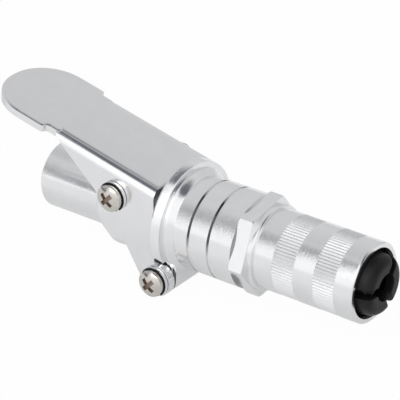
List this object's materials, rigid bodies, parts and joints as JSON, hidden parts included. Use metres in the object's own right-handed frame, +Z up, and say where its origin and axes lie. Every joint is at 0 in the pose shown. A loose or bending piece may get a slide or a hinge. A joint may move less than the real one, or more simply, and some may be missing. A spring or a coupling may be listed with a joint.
{
  "type": "grease coupler",
  "caption": "Lock-on grease coupler with a press lever, tapped inlet, sliding flanged barrel, hexagon and knurled nose sleeve around sprung jaws that grip a grease nipple.",
  "frame": {"origin": "centre of the tapped inlet at the rear face of the rear body", "axes": "+X along the coupler to the jaws, +Z up to the lever, +Y to the nuts' side"},
  "size_m": [0.1126, 0.0317, 0.0405],
  "materials": {
    "zinc_steel": "bright zinc plate, turned",
    "lever_steel": "bright zinc plate on folded sheet, satin",
    "nickel_screw": "nickel plate, slightly warm",
    "black_steel": "black oxide on hardened steel, satin",
    "spring_steel": "oiled spring steel",
    "bronze": "turned bronze",
    "rubber": "black nitrile rubber"
  },
  "bodies": {
    "stem": {"rear_body": "zinc_steel", "check_seat": "bronze", "check_ball": "spring_steel", "check_spring": "spring_steel", "delivery_tube": "zinc_steel", "neck_seal_ring": "rubber", "main_spring": "spring_steel", "spring_collar": "zinc_steel", "collar_clip": "spring_steel", "jaw_carrier": "spring_steel", "jaw_ring": "spring_steel", "seal_backing": "bronze", "nozzle_seal": "rubber", "pivot_screw": "nickel_screw", "pivot_washer": "nickel_screw", "pivot_nut": "nickel_screw"},
    "front": {"barrel": "zinc_steel", "guide_bush": "bronze", "nose_sleeve": "zinc_steel"},
    "press_lever": {"lever": "lever_steel", "link_screw": "nickel_screw", "link_washer": "nickel_screw", "link_nut": "nickel_screw"},
    "first_jaw": {"jaw_1": "black_steel"},
    "second_jaw": {"jaw_2": "black_steel"},
    "third_jaw": {"jaw_3": "black_steel"}
  },
  "joints": [
    {"name": "lever_press", "type": "hinge", "parent": "stem", "child": "press_lever", "pos_m": [0.0269, 0, 0.0068], "axis": [0, -1, 0], "range_deg": [0, 12], "stiffness_Nm_per_rad": 2, "springref_deg": -5.73},
    {"name": "sleeve_slide", "type": "slide", "parent": "stem", "child": "front", "axis": [1, 0, 0], "range_m": [0, 0.0038], "deforming": ["main_spring"]},
    {"name": "first_jaw_open", "type": "hinge", "parent": "stem", "child": "first_jaw", "pos_m": [0.0805, -0.00304, 0.00653], "axis": [0, -0.9063, -0.4226], "range_deg": [0, 2.5]},
    {"name": "second_jaw_open", "type": "hinge", "parent": "stem", "child": "second_jaw", "pos_m": [0.0805, -0.00413, -0.0059], "axis": [0, 0.8192, -0.5736], "range_deg": [0, 2.5]},
    {"name": "third_jaw_open", "type": "hinge", "parent": "stem", "child": "third_jaw", "pos_m": [0.0805, 0.00717, -0.00063], "axis": [0, 0.0872, 0.9962], "range_deg": [0, 2.5]}
  ],
  "couplings": [
    {"joint": "sleeve_slide", "follows": "lever_press", "m_per_rad": 0.01805},
    {"joint": "first_jaw_open", "follows": "lever_press", "ratio": 0.2083},
    {"joint": "second_jaw_open", "follows": "lever_press", "ratio": 0.2083},
    {"joint": "third_jaw_open", "follows": "lever_press", "ratio": 0.2083}
  ]
}
